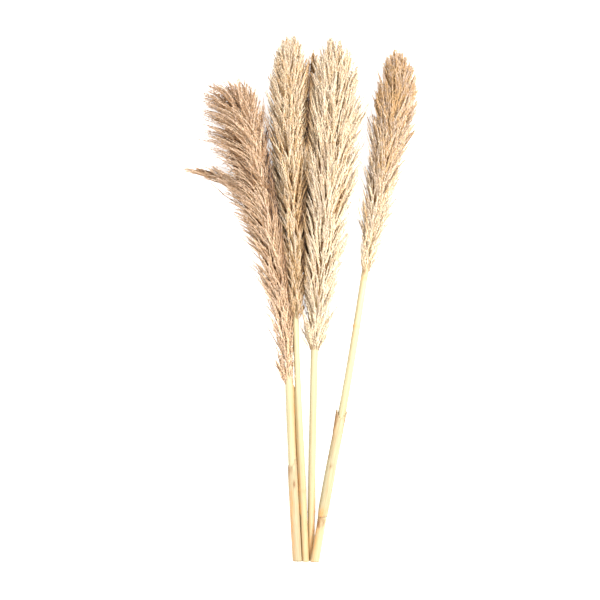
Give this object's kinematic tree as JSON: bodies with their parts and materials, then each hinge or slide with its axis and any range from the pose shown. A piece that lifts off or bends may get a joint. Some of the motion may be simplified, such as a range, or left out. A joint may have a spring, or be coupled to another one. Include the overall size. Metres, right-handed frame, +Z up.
{
  "type": "bundle of pampas grass",
  "caption": "Loose bundle of cut and dried pampas grass stalks with feathery plumes, lying flat, stems together at their cut ends, for dry floral decoration.",
  "frame": {"origin": "on the surface that the bundle lies on, under the middle of its bounding box", "axes": "+Y from the cut ends towards the plume tips, +Z up from the surface, +X to the side of the stalk that stands apart"},
  "size_m": [0.313, 0.6994, 0.0551],
  "materials": {
    "culm_straw": "smooth dry straw, satin, with brown blotches at the foot",
    "sheath_dry": "dry fibrous leaf sheath, matte, stained pinkish brown",
    "plume_rosy": "dry feathery flower head, matte, rosy beige",
    "plume_cream": "dry feathery flower head, matte, cream beige"
  },
  "bodies": {
    "root": {"culm_1": "culm_straw", "culm_2": "culm_straw", "culm_3": "culm_straw", "culm_4": "culm_straw", "leaf_sheath_1": "sheath_dry", "leaf_sheath_4": "sheath_dry", "plume_1": "plume_rosy", "plume_2": "plume_cream", "plume_3": "plume_cream", "plume_4": "plume_cream"}
  },
  "joints": []
}
